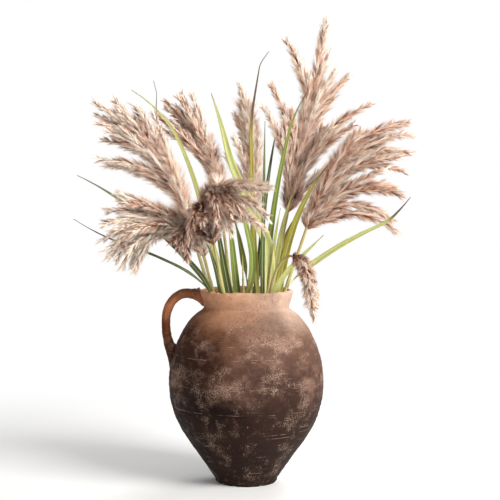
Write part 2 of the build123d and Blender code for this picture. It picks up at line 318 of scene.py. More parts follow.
def place_in_frame(tree):
    """(position, x, y, z) in the part's frame."""
    position = add_node(tree, "ShaderNodeTexCoord").outputs["Object"]
    split = add_node(tree, "ShaderNodeSeparateXYZ", {"Vector": position})
    return (position, *split.outputs)


# Aged terracotta. The throwing lines are the heights of grooves left by the potter's tool.
JAR_HEIGHT = 0.4
THROWING_LINES = [0.270, 0.212, 0.162, 0.119]
# The first two colours darken patches below the neck and tint a painted warm shade on the handle's
# side
DARK_PATCH_TONE, PAINTED_SHADE_WARMTH, NECK_PALE_TONE = (0.22, 0.15, 0.11), (1.0, 0.80, 0.62), (0.47, 0.36, 0.295)
WORN, RUBBED, PIT = (0.29, 0.17, 0.125), (0.56, 0.395, 0.30), (0.05, 0.025, 0.018)


def dark_patched_and_shade_warmed(tree, colour, position, x, z):
    """Dark patches below the neck, more on the handle's side, which gets a painted warm shade."""
    dark_patch = noise(tree, position, 9, 6, 0.62, (1, 1, 1.5), 7.7)
    dark_patch = calc(tree, "ADD", dark_patch, calc(tree, "MULTIPLY", x, -1.9))
    dark_patch = calc(tree, "MULTIPLY", level(tree, dark_patch, 0.47, 0.78), level(tree, z, 0.362, 0.325))
    colour = blend(tree, calc(tree, "MULTIPLY", dark_patch, 0.9), colour, DARK_PATCH_TONE, "MULTIPLY")
    # Painted warm shade: the side towards the handle is tinted warmer and darker
    shaded = level(tree, x, 0.04, -0.09)
    return blend(tree, calc(tree, "MULTIPLY", shaded, 0.8), colour, PAINTED_SHADE_WARMTH, "MULTIPLY")


def paled_and_worn(tree, colour, position, x, z):
    """(the colour made paler and greyer on the side of the neck away from the handle, with worn
    patches around the belly, how worn the surface is)"""
    # Paler and greyer towards the side of the neck away from the handle
    pale = calc(tree, "MULTIPLY", level(tree, x, -0.01, 0.09), level(tree, z, 0.30, 0.37))
    colour = blend(tree, calc(tree, "MULTIPLY", pale, 0.6), colour, NECK_PALE_TONE)
    dust = noise(tree, position, 14, 8, 0.7, (1, 1, 1.6), 1.9)
    belly = calc(tree, "MULTIPLY", level(tree, z, 0.14, 0.25), level(tree, z, 0.35, 0.30))
    dust = calc(tree, "ADD", dust, calc(tree, "MULTIPLY", x, 0.1))
    worn = calc(tree, "MULTIPLY", level(tree, dust, 0.44, 0.70), belly)
    return blend(tree, calc(tree, "MULTIPLY", worn, 0.6), colour, WORN), worn


def rubbed_specks(tree, position, worn):
    """Pale specks, denser where the surface is worn."""
    grain = noise(tree, position, 520, 3, 0.8, shift=2.3)
    patch = noise(tree, position, 26, 7, 0.72, (1, 1, 0.8), 5.2)
    patch = calc(tree, "ADD", patch, calc(tree, "MULTIPLY", worn, 0.17))
    return calc(tree, "MULTIPLY", level(tree, patch, 0.50, 0.66), level(tree, grain, 0.53, 0.58))


def scratches(tree, position, cloud, z):
    """Short level scratches from turning, a few steep ones, and the broken throwing lines."""
    level_marks = noise(tree, position, 14, 3, 0.5, (1, 1, 42), 4.4)
    steep_marks = noise(tree, position, 240, 2, 0.5, (1, 1, 0.07), 6.6)
    breaks = noise(tree, position, 34, 5, 0.7, shift=9.1)
    breaks = level(tree, breaks, 0.46, 0.62)
    marks = calc(tree, "MAXIMUM", level(tree, level_marks, 0.665, 0.70),
                 calc(tree, "MULTIPLY", level(tree, steep_marks, 0.70, 0.73), 0.6))
    for line_height in THROWING_LINES:
        wander = calc(tree, "MULTIPLY_ADD", cloud, 0.012, -0.006)
        off = calc(tree, "SUBTRACT", calc(tree, "ADD", z, wander), line_height)
        line = level(tree, calc(tree, "ABSOLUTE", off), 0.0007, 0.0002)
        marks = calc(tree, "MAXIMUM", marks, calc(tree, "MULTIPLY", line, 0.6))
    return calc(tree, "MULTIPLY", marks, breaks)


def grit_pits(tree, position, x, z):
    """Dark pits where grit burnt out, denser on the neck and along the front and the back."""
    cells = add_node(tree, "ShaderNodeTexVoronoi", {"Vector": position, "Scale": 230.0})
    pits = level(tree, cells.outputs["Distance"], 0.30, 0.14)
    patch = noise(tree, position, 17, 3, 0.5, shift=8.3)
    neck = calc(tree, "MULTIPLY", level(tree, z, 0.30, 0.35), 0.12)
    neck = calc(tree, "MULTIPLY_ADD", level(tree, calc(tree, "ABSOLUTE", x), 0.07, 0.0), 0.12, neck)
    patch = level(tree, calc(tree, "ADD", patch, neck), 0.62, 0.74)
    return calc(tree, "MULTIPLY", pits, patch)


def terracotta(name, tones, wear):
    """Unglazed clay: tones by height, dark patches, a painted warm shade on the handle's side,
    mottling, rubbed specks, scratches and pits.
    """
    material, tree, shader = start_material(name, 0.7, 0.1)
    position, x, _, z = place_in_frame(tree)
    cloud = noise(tree, position, 7, 5, 0.6, shift=3.1)
    drift = calc(tree, "MULTIPLY_ADD", cloud, 0.11, -0.055)
    height = calc(tree, "DIVIDE", calc(tree, "ADD", z, drift), JAR_HEIGHT)
    colour = dark_patched_and_shade_warmed(tree, ramp(tree, height, tones), position, x, z)
    colour, worn = paled_and_worn(tree, colour, position, x, z)

    # Mottling at two sizes
    coarse = noise(tree, position, 55, 6, 0.65)
    fine = noise(tree, position, 330, 4, 0.7)
    mottle = calc(tree, "MULTIPLY_ADD", coarse, 1.1, 0.45)
    mottle = calc(tree, "MULTIPLY", mottle, calc(tree, "MULTIPLY_ADD", fine, 0.7, 0.65))
    colour = blend(tree, 0.85, colour, grey_of(tree, mottle), "MULTIPLY")

    # Rubbed places are pale and pits are dark
    specks = calc(tree, "MULTIPLY", rubbed_specks(tree, position, worn), wear)
    marks = calc(tree, "MULTIPLY", scratches(tree, position, cloud, z), wear)
    rubbed = calc(tree, "MAXIMUM", specks, marks)
    colour = blend(tree, calc(tree, "MULTIPLY", rubbed, 0.66), colour, RUBBED)
    pits = grit_pits(tree, position, x, z)
    colour = blend(tree, calc(tree, "MULTIPLY", pits, 0.8), colour, PIT)
    tree.links.new(colour, shader.inputs["Base Color"])

    # Roughness and fine relief
    rough = calc(tree, "MULTIPLY_ADD", coarse, 0.3, 0.52)
    rough = calc(tree, "MULTIPLY_ADD", rubbed, 0.12, rough)
    tree.links.new(rough, shader.inputs["Roughness"])
    relief = calc(tree, "MULTIPLY_ADD", fine, 0.35, calc(tree, "MULTIPLY", coarse, 0.8))
    relief = calc(tree, "MULTIPLY_ADD", marks, -0.25, relief)
    relief = calc(tree, "MULTIPLY_ADD", pits, -0.9, relief)
    add_bump(tree, shader, relief, 0.0012, 0.8)
    return material


# Clay tones by height, as a share of the jar's height
JAR_TONES = [
    (0.0, (0.020, 0.009, 0.0065)), (0.22, (0.022, 0.010, 0.007)), (0.42, (0.030, 0.0135, 0.0090)),
    (0.56, (0.058, 0.0275, 0.0190)), (0.70, (0.118, 0.061, 0.042)), (0.82, (0.215, 0.113, 0.074)),
    (0.90, (0.43, 0.25, 0.165)), (1.0, (0.60, 0.36, 0.235)),
]
HANDLE_TONES = [
    (0.50, (0.040, 0.019, 0.012)), (0.66, (0.11, 0.046, 0.026)), (0.74, (0.30, 0.124, 0.064)),
    (0.90, (0.35, 0.152, 0.080)), (0.955, (0.20, 0.089, 0.049)), (1.0, (0.09, 0.041, 0.025)),
]


# Jar: its grid, where across its foot and its floor the rows are, where the waves of the rim
# start, how far its lip reaches down, how far beside the axis the CAD wall is sampled, and the
# distance between finger ridges
COLUMNS = 336
OUTSIDE_ROWS, INSIDE_ROWS, LIP_ROWS = 178, 62, 9
FOOT_SHARES, GROUND_SHARES = (0.02, 0.35, 0.7, 0.995), (0.98, 0.6, 0.02)
RIM_START, RIM_SPAN = 0.372, 0.028
LIP_REACH = 0.0042
SLICE_Y = 0.0003
RIDGE_PITCH = 0.0125


def cast(surface, start, way):
    """Where a ray meets the CAD surface, as (radius, height)."""
    hit = surface.ray_cast(Vector(start), Vector(way))[0]
    return abs(hit.x), hit.z


def jar_outline(surface):
    """((radius, height) rows from the middle of the foot, up the outside, over the lip, down the
    inside and across the floor, how many of them come before the lip)"""
    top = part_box("jar_body")[1].z
    lip_foot = top - LIP_REACH
    floor = cast(surface, (0, SLICE_Y, 0.1), (0, 0, -1))[1]
    outside_heights = np.concatenate((np.linspace(0.0006, 0.009, 6),
                                      np.linspace(0.011, lip_foot, OUTSIDE_ROWS)))
    inside_heights = np.linspace(lip_foot, floor + 0.0004, INSIDE_ROWS)
    outside = [cast(surface, (1, SLICE_Y, height), (-1, 0, 0)) for height in outside_heights]
    inside = [cast(surface, (0, SLICE_Y, height), (1, 0, 0)) for height in inside_heights]
    lip = [cast(surface, (radius, SLICE_Y, 1), (0, 0, -1))
           for radius in np.linspace(outside[-1][0], inside[0][0], LIP_ROWS)[1:-1]]
    foot = [(outside[0][0] * share, 0.0) for share in FOOT_SHARES]
    ground = [(inside[-1][0] * share, floor) for share in GROUND_SHARES]
    rows = foot + outside + lip + inside + ground
    return np.array(rows), len(foot) + len(outside)


jar_points, jar_faces = read_node("jar_body")
jar_surface = BVHTree.FromPolygons(jar_points.tolist(), jar_faces.tolist())
outline, rows_before_lip = jar_outline(jar_surface)


def jar_chips(points, radius, height, count, size, seed):
    """Bites out of an edge of the jar: how far each point is taken towards the inside."""
    chance = np.random.default_rng(seed)
    bite = np.zeros(len(points))
    for _ in range(count):
        turn = chance.uniform(0, math.tau)
        spot = np.array((radius * math.cos(turn), radius * math.sin(turn), height))
        reach = size * chance.uniform(0.45, 1.0)
        near = np.linalg.norm((points - spot) / (1.6, 1.6, 1.0), axis=1) / reach
        bite = np.maximum(bite, (1 - near.clip(0, 1) ** 2) * reach * 0.28)
    return bite


def turned(rows):
    """Each (radius, height) row carried around the axis, as points in the frame."""
    turn = np.linspace(0, math.tau, COLUMNS, endpoint=False)
    around = (np.outer(rows[:, 0], np.cos(turn)), np.outer(rows[:, 0], np.sin(turn)),
              np.outer(rows[:, 1], np.ones(COLUMNS)))
    return np.stack(around, axis=2).reshape(-1, 3)


def build_jar():
    """The thrown jar: a turned wall with finger ridges, a wavy lip, dents and small chips."""
    rows = len(outline)
    points = turned(outline)
    slope = np.gradient(outline, axis=0)
    outward = turned(unit(np.stack((slope[:, 1], -slope[:, 0]), axis=1)))

    # Uneven wall: the underside of the foot and the floor inside stay flat
    row_of = np.repeat(np.arange(rows), COLUMNS)
    wall = ((row_of > 6) & (row_of < rows - 4)).astype(float)
    ridge = np.sin(points[:, 2] * math.tau / RIDGE_PITCH + 1.3 * ripple(points, 0.25, 21))
    ridge *= 0.5 + 0.5 * ripple(points, 0.2, 22)
    push = 0.0006 * ripple(points, 0.16, 23) + 0.00022 * ripple(points, 0.035, 24)
    push += 0.00012 * ripple(points, 0.012, 25) + 0.00022 * ridge
    points += outward * (push * wall)[:, None]
    rim = ((points[:, 2] - RIM_START) / RIM_SPAN).clip(0, 1) ** 2
    wave = 0.0007 * ripple(points, 0.11, 26) + 0.0003 * ripple(points, 0.02, 27) - 0.0005
    points[:, 2] += rim * wave

    # Chips out of the lip and the foot
    lip_radius = outline[rows_before_lip - 1, 0]
    bite = jar_chips(points, lip_radius, outline[:, 1].max(), 15, 0.008, 31)
    bite += jar_chips(points, outline[8, 0], 0.002, 9, 0.006, 32)
    inward = -outward - np.array((0, 0, 0.5)) * np.sign(points[:, 2:] - 0.2)
    points += inward * bite[:, None]
    points[:, 2] = points[:, 2].clip(0, None)
    faces, across, up = grid_faces(rows, COLUMNS)
    run = np.concatenate(([0], np.cumsum(np.linalg.norm(np.diff(outline, axis=0), axis=1))))
    uv = np.stack((across / COLUMNS, run[up] / run[-1]), axis=2) * 0.996 + 0.002
    make_piece("jar_wall", points, faces, "jar_body",
               terracotta("aged_terracotta", JAR_TONES, 1.0), uv)


def wall_gap(points):
    """(distance outside the jar's wall, the wall's outward direction) at each point."""
    outside = outline[len(FOOT_SHARES):rows_before_lip]
    radius = np.interp(points[:, 2], outside[:, 1], outside[:, 0])
    slope = np.interp(points[:, 2], outside[:, 1], np.gradient(outside[:, 0], outside[:, 1]))
    around = np.linalg.norm(points[:, :2], axis=1)
    normal = unit(np.stack((np.ones(len(points)), -slope), axis=1))
    outward = np.concatenate((points[:, :2] / around[:, None] * normal[:, :1], normal[:, 1:]),
                             axis=1)
    return (around - radius) * normal[:, 0], outward


# Handle: the size of its grid, how far from the wall it widens and by how much, and its channel
HANDLE_GRID = 0.0017
SMEAR_REACH, SMEAR_WIDTH = 0.018, 0.0075
CHANNEL_WIDTH, CHANNEL_DEPTH = 0.0045, 0.0009


def even_copy(node):
    """(points, outward directions, quads) of a CAD node's shape, meshed again evenly."""
    points, faces = read_node(node)
    mesh = bpy.data.meshes.new("handle_raw")
    mesh.from_pydata(points.tolist(), [], faces.tolist())
    raw = bpy.data.objects.new("handle_raw", mesh)
    bpy.context.scene.collection.objects.link(raw)
    remesh = raw.modifiers.new("even", "REMESH")
    remesh.mode = "VOXEL"
    remesh.voxel_size = HANDLE_GRID
    soften = raw.modifiers.new("soften", "SMOOTH")
    soften.iterations = 4
    made = bpy.data.meshes.new_from_object(raw.evaluated_get(bpy.context.evaluated_depsgraph_get()))
    bpy.data.objects.remove(raw)
    points, facing = vertex_table(made, "co"), vertex_table(made, "normal")
    quads = np.array([face.vertices[:] for face in made.polygons])
    bpy.data.meshes.remove(made)
    return points, facing, quads


def build_handle():
    """The strap handle: pulled clay with a channel along it, smeared onto the wall at its ends."""
    points, facing, quads = even_copy("jar_handle")
    gap, outward = wall_gap(points)
    smear = (1 - gap / SMEAR_REACH).clip(0, 1) ** 2
    sideways = facing - outward * (facing * outward).sum(1)[:, None]
    points += sideways * (SMEAR_WIDTH * smear * (1 + 0.35 * ripple(points, 0.02, 41)))[:, None]
    points -= outward * (0.0022 * (1 - gap / 0.003).clip(0, 1))[:, None]
    channel = np.exp(-(points[:, 1] / CHANNEL_WIDTH) ** 2) * (1 - smear)
    push = 0.00035 * ripple(points, 0.03, 42) + 0.0002 * ripple(points, 0.011, 43)
    points += facing * (push - CHANNEL_DEPTH * channel)[:, None]
    make_piece("handle_strap", points, quads, "jar_handle",
               terracotta("handle_terracotta", HANDLE_TONES, 0.45))


build_jar()
build_handle()


# Stems: the distance between joints, where the first is, and how long each one is
JOINT_STEP, FIRST_JOINT, JOINT_LENGTH = 0.085, 0.04, 0.0022


def stem_material():
    """Dry reed with fine streaks: straw yellow below, then green, then reddish brown."""
    material, tree, shader = start_material("reed_straw", 0.5, 0.45)
    position, _, _, z = place_in_frame(tree)
    streak = noise(tree, position, 60, 3, 0.6, (1, 1, 0.05))
    fine = noise(tree, position, 700, 2, 0.6, (1, 1, 0.03))
    height = calc(tree, "MULTIPLY_ADD", streak, 0.3, calc(tree, "SUBTRACT", z, 0.25))
    colour = ramp(tree, height, [
        (0.0, (0.62, 0.50, 0.27)), (0.22, (0.55, 0.50, 0.20)), (0.36, (0.42, 0.36, 0.13)),
        (0.5, (0.36, 0.20, 0.10)), (0.8, (0.45, 0.29, 0.19))])
    lines = calc(tree, "MULTIPLY_ADD", fine, 0.6, 0.7)
    colour = blend(tree, 0.8, colour, grey_of(tree, lines), "MULTIPLY")
    tree.links.new(colour, shader.inputs["Base Color"])
    add_bump(tree, shader, fine, 0.0004, 0.6)
    return material


def build_stem(node, material):
    """A jointed stem, built as a fine tube on the CAD one. Its centre line is returned."""
    points, faces = read_node(node)
    line, radius = spine(points, faces, lambda place: place[2], 26)
    rows, sides = 110, 12
    fine = respace(line, rows)
    share = np.linspace(0, 1, rows)
    if node.startswith("shoot_"):
        taper = 1 - 0.9 * ((share - 0.55) / 0.45).clip(0, 1) ** 1.5
    else:
        taper = 1 - 0.75 * ((share - 0.45) / 0.55).clip(0, 1)
    radius = np.minimum(np.interp(share, np.linspace(0, 1, len(radius)), radius),
                        np.median(radius[:9]) * taper)
    _, side, up = turned_frames(fine)
    run = np.linspace(0, np.linalg.norm(np.diff(line, axis=0), axis=1).sum(), rows)
    above = fine[:, 2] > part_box("foam_block")[1].z + 0.01
    knot = np.exp(-(((run % JOINT_STEP) - FIRST_JOINT) / JOINT_LENGTH) ** 2) * above
    radius = radius * (1 + 0.16 * knot)
    turn = np.linspace(0, math.tau, sides, endpoint=False)
    ring = (side[:, None] * np.cos(turn)[:, None] + up[:, None] * np.sin(turn)[:, None])
    body = fine[:, None] + ring * radius[:, None, None]
    body = np.concatenate((np.repeat(fine[:1, None], sides, axis=1), body,
                           np.repeat(fine[-1:, None], sides, axis=1)))
    quads, across, along = grid_faces(rows + 2, sides)
    uv = np.stack((along / (rows + 1), across / sides), axis=2) * 0.99 + 0.005
    make_piece(node.replace("stem", "cane").replace("shoot", "sprout"), body.reshape(-1, 3), quads,
               node, material, uv)
    return line


# Plumes: the tone of each one (0 dark brown, 1 cream), how much its fingers differ, the tones of
# its core at its foot and its tip, the way in which its fingers get paler and by how much, and
# how far below its lowest finger its down reaches, as a share of the stem. A fluff below 1 makes
# its hair shorter.
PLUMES = {
    "plume_left": dict(tone=0.50, spread=0.12, core=(0.80, 0.48), pale=(-0.2, 0, 1), gain=0.32,
                       skirt=0.09, seed=1),
    # plume_low_left is set paler than its own colour: painted light that lifts it out of the shade
    # it lies in
    "plume_low_left": dict(tone=0.84, spread=0.14, core=(0.88, 0.86), pale=(0, 0, -1), gain=0.24,
                           skirt=0.03, seed=2),
    "plume_front_left": dict(tone=0.50, spread=0.12, core=(0.20, 0.9), pale=(1, 0, 0.3),
                             gain=0.46, skirt=0.0, seed=3),
    "plume_back_left": dict(tone=0.52, spread=0.2, core=(0.6, 0.5), pale=(-0.7, 0, 0.7),
                            gain=0.18, skirt=0.05, seed=4),
    "plume_back": dict(tone=0.78, spread=0.12, core=(0.66, 0.74), pale=(0, 0, 1), gain=0.1,
                       skirt=0.04, seed=5),
    "plume_tall": dict(tone=0.56, spread=0.14, core=(0.30, 0.60), pale=(0, 0, 1), gain=0.24,
                       skirt=0.0, seed=6),
    "plume_right": dict(tone=0.58, spread=0.12, core=(0.46, 0.64), pale=(0, 0, 1), gain=0.28,
                        skirt=0.0, seed=7),
    "plume_low_right": dict(tone=0.78, spread=0.24, core=(0.5, 0.9), pale=(0, 0, 1), gain=0.1,
                            skirt=0.0, fluff=0.68, seed=8),
}

# Hair: the locks on a full-length finger, the hairs in each, half the width of a hair, the golden
# turn from lock to lock, how far the hair stands out beyond the CAD finger, and how steeply
FULL_FINGER = 0.2
LOCKS = 150
HAIRS_PER_LOCK = 17
HAIR_HALF_WIDTH = (0.00026, 0.00058)
LOCK_TURN = 2.39996
FLUFF = 1.45
FINGER_SAMPLES = 48
FINGER_TONE_STEP = 0.15
FINGER_ANGLES, CORE_ANGLES = (16, 40), (28, 60)
CORE_SPRAYS, CORE_RADIUS = 3, 0.017
REED_SAMPLES = 60


def hair_material(name):
    """Silky seed hair, coloured by the strand's tone (v) and along its length (u), with painted
    shade darkening the roots deep among the locks.
    """
    material, tree, shader = start_material(name, 0.7, 0.08)
    place = add_node(tree, "ShaderNodeUVMap", uv_map="OFBake").outputs[0]
    split = add_node(tree, "ShaderNodeSeparateXYZ", {"Vector": place})
    run, tone = split.outputs[0], split.outputs[1]
    colour = ramp(tree, tone, [
        (0.0, (0.10, 0.030, 0.012)), (0.2, (0.27, 0.095, 0.043)), (0.4, (0.55, 0.258, 0.150)),
        (0.6, (0.84, 0.53, 0.37)), (0.8, (0.96, 0.78, 0.63)), (1.0, (0.99, 0.93, 0.84))])
    tip = calc(tree, "MULTIPLY", level(tree, run, 0.35, 1.0), 0.5)
    colour = blend(tree, tip, colour, (0.96, 0.85, 0.76))
    # Painted shade: darker towards the roots, deep among the locks
    root = level(tree, run, 0.4, 0.0, 0.0, 0.6)
    colour = blend(tree, root, colour, (0.30, 0.125, 0.075))
    tree.links.new(colour, shader.inputs["Base Color"])
    return material


def at(table, share):
    """The values of a finger's table at shares of its length."""
    place = share.clip(0, 1) * (FINGER_SAMPLES - 1)
    low = place.astype(int).clip(0, FINGER_SAMPLES - 2)
    part = (place - low)[..., None] if table.ndim > 1 else place - low
    return table[low] * (1 - part) + table[low + 1] * part


def finger_strands(line, radius, tones, chance, spread):
    """(points, faces, uv) of one finger's hair: locks of thin strips that point forwards and out
    and close in to a shared tip."""
    centre = respace(line, FINGER_SAMPLES)
    way, side, up = turned_frames(centre)
    width = np.interp(np.linspace(0, 1, FINGER_SAMPLES), np.linspace(0, 1, len(radius)), radius)
    width = np.maximum(width, width.max() * np.linspace(0.85, 0.3, FINGER_SAMPLES)) * FLUFF
    length = np.linalg.norm(np.diff(line, axis=0), axis=1).sum()

    # Locks, from the root to the tip of the finger
    locks = int(LOCKS * (0.35 + 0.65 * length / FULL_FINGER))
    lock_share = np.sort(chance.random(locks)) * 0.93
    lock_turn = np.arange(locks) * LOCK_TURN + chance.normal(0, 0.4, locks)
    lock_angle = np.radians(chance.uniform(*spread, locks))
    lock_reach = (at(width, lock_share + 0.06) * chance.uniform(0.8, 1.28, locks)).clip(0.003, None)
    lock_run = lock_reach / np.tan(lock_angle) / length
    lock_run = np.minimum(lock_run, (1.05 - lock_share)).clip(0.03, None)
    lock_tone = np.interp(lock_share, (0, 1), tones) + chance.normal(0, 0.24, locks)

    # Hairs of each lock: a root, a middle and a tip
    strands = locks * HAIRS_PER_LOCK
    of_lock = np.repeat(np.arange(locks), HAIRS_PER_LOCK)
    start_share = lock_share[of_lock] + chance.normal(0, 0.007, strands)
    start_turn = lock_turn[of_lock] + chance.normal(0, 0.4, strands)
    reach = lock_reach[of_lock] * chance.uniform(0.82, 1.1, strands)
    run = lock_run[of_lock] * chance.uniform(0.8, 1.06, strands)
    end_turn = lock_turn[of_lock] + chance.normal(0, 0.10, strands)
    twist = chance.uniform(-0.6, 0.6, strands)
    thick = chance.uniform(*HAIR_HALF_WIDTH, strands)
    knots = []
    for step in (0.0, 0.5, 1.0):
        share = start_share + run * step
        turn = start_turn + (end_turn - start_turn) * min(1, step * 1.4)
        out = 0.0006 + reach * step ** 1.15
        past = (share - 1).clip(0, None)[:, None] * length
        base = at(centre, share) + way[-1] * past
        spoke = at(side, share) * np.cos(turn)[:, None] + at(up, share) * np.sin(turn)[:, None]
        knots.append(base + spoke * out[:, None])

    # Each hair as a strip of three triangles
    ahead = unit(knots[2] - knots[0])
    across = unit(np.cross(ahead, spoke))
    lift = np.cross(across, ahead)
    flat = across * np.cos(twist)[:, None] + lift * np.sin(twist)[:, None]
    edge = flat * thick[:, None]
    points = np.stack((knots[0] - edge, knots[0] + edge, knots[1] - edge * 0.85,
                       knots[1] + edge * 0.85, knots[2]), axis=1)
    pattern = np.array(((0, 1, 3), (0, 3, 2), (2, 3, 4)))
    faces = (np.arange(strands)[:, None, None] * 5 + pattern).reshape(-1, 3)
    shade = (lock_tone[of_lock] + chance.normal(0, 0.09, strands)).clip(0.02, 0.98)
    run_of = np.array((0.02, 0.02, 0.5, 0.5, 0.98))
    uv = np.stack((np.broadcast_to(run_of, (strands, 5)),
                   np.broadcast_to(shade[:, None], (strands, 5))), axis=2)
    return points.reshape(-1, 3), faces, uv.reshape(-1, 2)[faces]


def build_plume(node, stem_line):
    """A plume: every CAD finger becomes a spray of hair around its centre line."""
    look = PLUMES[node]
    chance = np.random.default_rng(100 + look["seed"])
    reed = respace(stem_line, REED_SAMPLES)
    found = []
    for points, faces in shells(*read_node(node)):
        line, radius = spine(points, faces, lambda place: shares_along(place[None], reed)[1][0], 14)
        found.append((line, radius))
    all_points, all_faces, all_uv, total = [], [], [], 0
    roots = shares_along(np.array([line[0] for line, _ in found]), reed)[0]
    sprays = []
    fluff = look.get("fluff", 1)
    for line, radius in found:
        paler = unit(line[-1] - line[0]) @ unit(np.array(look["pale"], dtype=float))
        tone = look["tone"] + look["spread"] * chance.uniform(-1, 1) + look["gain"] * paler
        tones = (tone - FINGER_TONE_STEP, tone + FINGER_TONE_STEP)
        sprays.append((line, radius * fluff, tones, FINGER_ANGLES))
    places = np.linspace(roots.min() - look["skirt"], 1, 20) * (REED_SAMPLES - 1)
    core = np.stack([np.interp(places, np.arange(REED_SAMPLES), reed[:, axis])
                     for axis in range(3)], axis=1)
    for _ in range(CORE_SPRAYS):
        sprays.append((core, np.full(14, CORE_RADIUS) * fluff, look["core"], CORE_ANGLES))
    for line, radius, tones, spread in sprays:
        points, faces, uv = finger_strands(line, radius, tones, chance, spread)
        all_points.append(points)
        all_faces.append(faces + total)
        all_uv.append(uv)
        total += len(points)
    make_piece(node.replace("plume", "feathers"), np.concatenate(all_points),
               np.concatenate(all_faces), node, hair_material("hair_" + node),
               np.concatenate(all_uv))


# Leaves: the colours of each kind at the foot, in the middle and at the tip. Then the kind of
# each leaf, and how far along it the dried tip starts.
GREEN, PALE_AND_HIGHLIT, OLIVE, DARK = "green", "pale", "olive", "dark"
LEAF_TONES = {
    GREEN: ((0.48, 0.50, 0.16), (0.19, 0.25, 0.035), (0.25, 0.26, 0.06)),
    # The pale kind is partly painted highlight: its pale tones also stand for highlights on those
    # blades
    PALE_AND_HIGHLIT: ((0.74, 0.72, 0.38), (0.52, 0.54, 0.19), (0.46, 0.47, 0.16)),
    OLIVE: ((0.56, 0.52, 0.16), (0.30, 0.265, 0.038), (0.24, 0.16, 0.05)),
    DARK: ((0.12, 0.14, 0.025), (0.065, 0.095, 0.022), (0.10, 0.11, 0.04)),
}
DRIED = (0.10, 0.06, 0.04)
LEAF_COLUMNS = 9
LEAF_THICKNESS = 0.00042
LEAVES = {
    "leaf_left_arch": (DARK, 0.9), "leaf_left_thin": (DARK, 0.6), "leaf_left_tip": (OLIVE, 0.62),
    "leaf_back_left_tall": (PALE_AND_HIGHLIT, 0.98), "leaf_front_left_short": (DARK, 0.95),
    "leaf_front_pair_left": (DARK, 0.97), "leaf_front_pair_right": (GREEN, 0.97),
    "leaf_front_slanted": (GREEN, 0.97), "leaf_broad_pale": (PALE_AND_HIGHLIT, 0.98),
    "leaf_tall_hooked": (OLIVE, 0.72), "leaf_upright_dark": (DARK, 0.97),
    "leaf_tall_side": (GREEN, 0.93), "leaf_tall_low": (PALE_AND_HIGHLIT, 0.97),
    "leaf_right_pale": (PALE_AND_HIGHLIT, 0.97), "leaf_right_olive": (OLIVE, 0.9),
    "leaf_right_kinked": (PALE_AND_HIGHLIT, 0.8), "leaf_low_right": (PALE_AND_HIGHLIT, 0.96),
    "leaf_back_arch": (GREEN, 0.93), "leaf_back_right_arch": (OLIVE, 0.92),
    "leaf_back_left_arch": (GREEN, 0.92), "leaf_back_upright": (DARK, 0.93),
}


def leaf_material(name, tones, dry_from, seed):
    """A grass blade: tone along its length, parallel veins, a pale rib, and a dried tip."""
    material, tree, shader = start_material(name, 0.42, 0.3)
    place = add_node(tree, "ShaderNodeUVMap", uv_map="OFBake").outputs[0]
    split = add_node(tree, "ShaderNodeSeparateXYZ", {"Vector": place})
    run = split.outputs[0]
    across = calc(tree, "FRACT", calc(tree, "MULTIPLY", split.outputs[1], 2.0))
    from_rib = calc(tree, "ABSOLUTE", calc(tree, "SUBTRACT", across, 0.5))
    streak = noise(tree, place, 1.0, 4, 0.6, (5, 60, 1), seed)
    veins = noise(tree, place, 1.0, 2, 0.5, (1.5, 230, 1), seed + 3)
    mottle = noise(tree, place, 1.0, 5, 0.65, (26, 12, 1), seed + 5)
    foot, middle, tip = LEAF_TONES[tones]
    drift = calc(tree, "ADD", run, calc(tree, "MULTIPLY_ADD", streak, 0.36, -0.18))
    colour = ramp(tree, drift, [(0.0, foot), (0.30, middle), (0.72, middle), (1.0, tip)])
    lines = calc(tree, "MULTIPLY_ADD", veins, 0.75, 0.62)
    lines = calc(tree, "MULTIPLY", lines, calc(tree, "MULTIPLY_ADD", mottle, 0.5, 0.75))
    colour = blend(tree, 0.85, colour, grey_of(tree, lines), "MULTIPLY")
    rib = level(tree, from_rib, 0.055, 0.02, 0.0, 0.55)
    colour = blend(tree, rib, colour, (0.66, 0.68, 0.36))
    border = level(tree, from_rib, 0.44, 0.495, 0.0, 0.35)
    colour = blend(tree, border, colour, (0.42, 0.30, 0.12))
    spots = calc(tree, "MULTIPLY", level(tree, mottle, 0.60, 0.70), level(tree, run, 0.35, 0.95))
    colour = blend(tree, calc(tree, "MULTIPLY", spots, 0.55), colour, (0.28, 0.17, 0.08))
    dried = level(tree, drift, dry_from - 0.05, dry_from + 0.06)
    colour = blend(tree, dried, colour, DRIED)
    tree.links.new(colour, shader.inputs["Base Color"])
    add_bump(tree, shader, calc(tree, "ADD", veins, calc(tree, "MULTIPLY", rib, 1.2)), 0.0004, 0.7)
    return material


def cut(points, faces, place, way, reach):
    """Where a plane cuts a mesh's edges, within reach of a place."""
    height = (points - place) @ way
    found = []
    for one, two in ((0, 1), (1, 2), (2, 0)):
        a, b = faces[:, one], faces[:, two]
        crossed = height[a] * height[b] < 0
        a, b = a[crossed], b[crossed]
        share = height[a] / (height[a] - height[b])
        found.append(points[a] + (points[b] - points[a]) * share[:, None])
    found = np.concatenate(found)
    return found[np.linalg.norm(found - place, axis=1) < reach]


def leaf_sections(points, faces, line):
    """(left edge, rib, right edge) of a CAD blade at each point of its centre line."""
    way = unit(np.gradient(line, axis=0))
    sections = []
    last_across = None
    for place, ahead in zip(line, way):
        found = cut(points, faces, place, ahead, 0.02)
        if len(found) < 4:
            if sections:
                sections.append([spot + place - last_place for spot in sections[-1]])
                last_place = place
            continue
        off = found - found.mean(axis=0)
        across = np.linalg.svd(off, full_matrices=False)[2][0]
        if last_across is not None and across @ last_across < 0:
            across = -across
        last_across = across
        last_place = place
        along = off @ across
        middle = (along.max() + along.min()) / 2
        inner = np.argsort(abs(along - middle))[:2]
        sections.append([found[along.argmin()], found[inner].mean(axis=0), found[along.argmax()]])
    return np.array(sections)


